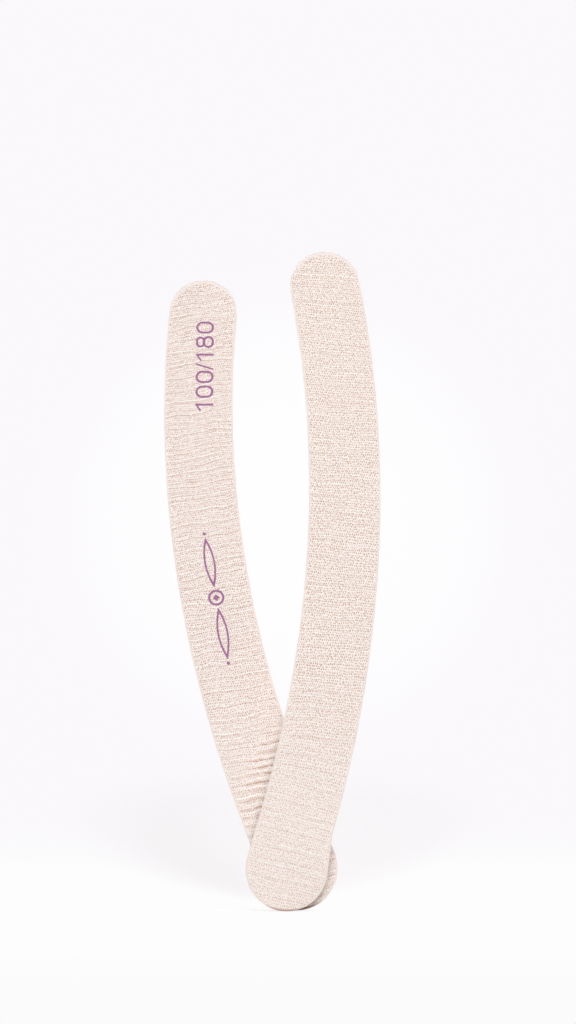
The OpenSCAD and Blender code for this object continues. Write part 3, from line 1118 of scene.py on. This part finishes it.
# Background: its colour, and a painted pool of light behind the boards with its height and spread
BACKGROUND = srgb(250, 248, 251)
PAINTED_LIGHT_POOL = srgb(255, 254, 255)
PATCH_UP = math.radians(13.5)
PATCH_SPREAD = (math.radians(10.5), math.radians(2))


def seen_directly(tree):
    """1 where a camera, mirror or glass ray looks at the surface, and 0 for light that bounces."""
    path = add_node(tree, "ShaderNodeLightPath").outputs
    seen = sum_up(tree, "MAXIMUM", path["Is Camera Ray"], path["Is Glossy Ray"])
    return sum_up(tree, "MAXIMUM", seen, path["Is Transmission Ray"])


def make_world():
    world = bpy.data.worlds.new("studio")
    bpy.context.scene.world = world
    world.use_nodes = True
    tree = world.node_tree
    tree.nodes.clear()
    soft = add_node(tree, "ShaderNodeBackground", ("Color", (1, 1, 1, 1)), ("Strength", SOFT_LIGHT))
    looking = add_node(tree, "ShaderNodeTexCoord").outputs["Generated"]
    inputs = [(0, looking), (1, (0, math.cos(PATCH_UP), math.sin(PATCH_UP)))]
    near = add_node(tree, "ShaderNodeVectorMath", *inputs, operation="DOT_PRODUCT").outputs["Value"]
    patch = between(tree, near, *[math.cos(spread) for spread in PATCH_SPREAD])
    # Painted light: the backdrop shows a brighter pool behind the boards
    colour = blend_colours(tree, patch, BACKGROUND, PAINTED_LIGHT_POOL)
    shown = add_node(tree, "ShaderNodeBackground", ("Color", colour), ("Strength", 1.0))
    mixed = add_node(tree, "ShaderNodeMixShader", (0, seen_directly(tree)))
    tree.links.new(soft.outputs[0], mixed.inputs[1])
    tree.links.new(shown.outputs[0], mixed.inputs[2])
    output = add_node(tree, "ShaderNodeOutputWorld")
    tree.links.new(mixed.outputs[0], output.inputs[0])


# Floor: its width, where it starts to rise behind the boards, and the radius and angle of the rise
FLOOR_W = 1200
RISE_FROM = 15
RISE_R = 600
RISE_ANGLE = math.radians(25)

# Share of the floor's own light and shadow in the view, and its level out of the shadows: on a band
# behind the boards, from where it starts to where it ends and to both sides, and round the feet
FLOOR_LEVEL = 0.7
BAND_SHADOW = 0.9
BAND_FROM = (35.0, 90.0)
BAND_SLANT = 1.6
BAND_TO = (262.0, 190.0)
BAND_SIDE = (95.0, 20.0)
FOOT_SHADOW = 0.8
FOOT_REACH = (16.0, 3.0)

# Colour of the floor: by the boards, as painted shade behind them, and far in front of them. It
# changes over the places from FRONT_AT on, and into the background's over those from BACK_AT on.
FLOOR_COLOUR = srgb(253, 253, 253)
FLOOR_SHADE = srgb(243, 237, 242)
FLOOR_EDGE = srgb(251, 251, 252)
FRONT_AT = (-240.0, -150.0)
BACK_AT = (100.0, 200.0)
FLOOR_GREY = (0.82, 0.82, 0.82, 1)


def floor_material():
    """White floor that fades into the background, and keeps the boards' soft shadows."""
    material, tree, shader = new_material("white_floor")
    shader.inputs["Base Color"].default_value = FLOOR_GREY
    shader.inputs["Roughness"].default_value = 0.9
    shader.inputs["Specular IOR Level"].default_value = 0.1
    output = tree.nodes["Material Output"]
    place = object_place(tree)
    parts = split(tree, place)
    aside = sum_up(tree, "ABSOLUTE", parts[0])
    slanted = sum_up(tree, "MULTIPLY_ADD", aside, -BAND_SLANT, parts[1])
    band = sum_up(
        tree, "MULTIPLY", between(tree, slanted, *BAND_FROM), between(tree, parts[1], *BAND_TO)
    )
    shade = sum_up(tree, "MULTIPLY", band, between(tree, aside, *BAND_SIDE))
    band = sum_up(tree, "MULTIPLY", shade, BAND_SHADOW)
    away = add_node(tree, "ShaderNodeVectorMath", (0, place), operation="LENGTH").outputs["Value"]
    foot = sum_up(tree, "MULTIPLY", between(tree, away, *FOOT_REACH), FOOT_SHADOW)
    own = sum_up(tree, "MAXIMUM", band, foot)
    hidden = sum_up(tree, "SUBTRACT", 1.0, own)
    lacking = sum_up(tree, "MULTIPLY_ADD", own, -FLOOR_LEVEL, 1.0)
    near = between(tree, parts[1], *FRONT_AT)
    colour = blend_colours(tree, near, FLOOR_EDGE, FLOOR_COLOUR)
    colour = blend_colours(tree, between(tree, parts[1], *BACK_AT), colour, BACKGROUND)
    # Painted shade: a darker lilac colour over the band behind the boards, on top of their real
    # shadows there
    colour = blend_colours(tree, shade, colour, FLOOR_SHADE)
    strength = sum_up(tree, "DIVIDE", lacking, hidden)
    glow = add_node(tree, "ShaderNodeEmission", ("Color", colour), ("Strength", strength))
    share = sum_up(tree, "MULTIPLY", hidden, seen_directly(tree))
    mixed = add_node(tree, "ShaderNodeMixShader", (0, share))
    tree.links.new(shader.outputs[0], mixed.inputs[1])
    tree.links.new(glow.outputs[0], mixed.inputs[2])
    tree.links.new(mixed.outputs[0], output.inputs[0])
    return material


def make_floor():
    """A flat sheet that rises gently behind the boards."""
    deselect_all()
    middle = (RISE_FROM - FLOOR_W / 2) * MM
    bpy.ops.mesh.primitive_plane_add(size=FLOOR_W * MM, location=(0, middle, 0))
    floor = bpy.context.object
    floor.name = "studio_floor"
    bpy.ops.object.transform_apply(location=True, rotation=True, scale=True)
    back = [point.index for point in floor.data.vertices if point.co.y > 0]
    select_points(floor, back)
    bpy.ops.mesh.spin(
        steps=48, angle=-RISE_ANGLE, center=(0, RISE_FROM * MM, RISE_R * MM), axis=(1, 0, 0)
    )
    bpy.ops.object.mode_set(mode="OBJECT")
    bpy.ops.object.shade_smooth()
    floor.data.materials.append(floor_material())


# Lamps: width, power in watts, place, and the height on the boards that they point at
LAMPS = {
    "key_lamp": {"size": 260, "power": 1.72, "at": (150, -640, 400), "aim": 60},
    "fill_lamp": {"size": 260, "power": 1.545, "at": (-150, -660, 80), "aim": 60},
    "top_lamp": {"size": 500, "power": 0.6, "at": (0, 40, 760), "aim": 60},
    "right_lamp": {"size": 400, "power": 1.7, "at": (700, 140, 240), "aim": 80},
    "left_lamp": {"size": 400, "power": 1.7, "at": (-700, 140, 240), "aim": 80},
    "back_lamp": {"size": 500, "power": 1.5, "at": (-160, 700, 420), "aim": 80},
}


def make_lamps():
    for name, lamp in LAMPS.items():
        light = bpy.data.lights.new(name, "AREA")
        light.size = lamp["size"] * MM
        light.energy = lamp["power"]
        holder = bpy.data.objects.new(name, light)
        bpy.context.scene.collection.objects.link(holder)
        holder.location = [part * MM for part in lamp["at"]]
        aim = Vector((0, 0, lamp["aim"] * MM)) - holder.location
        holder.rotation_euler = aim.to_track_quat("-Z", "Y").to_euler()


make_camera()
make_world()
make_floor()
make_lamps()
make_boards()

bpy.context.scene.view_settings.view_transform = "Standard"
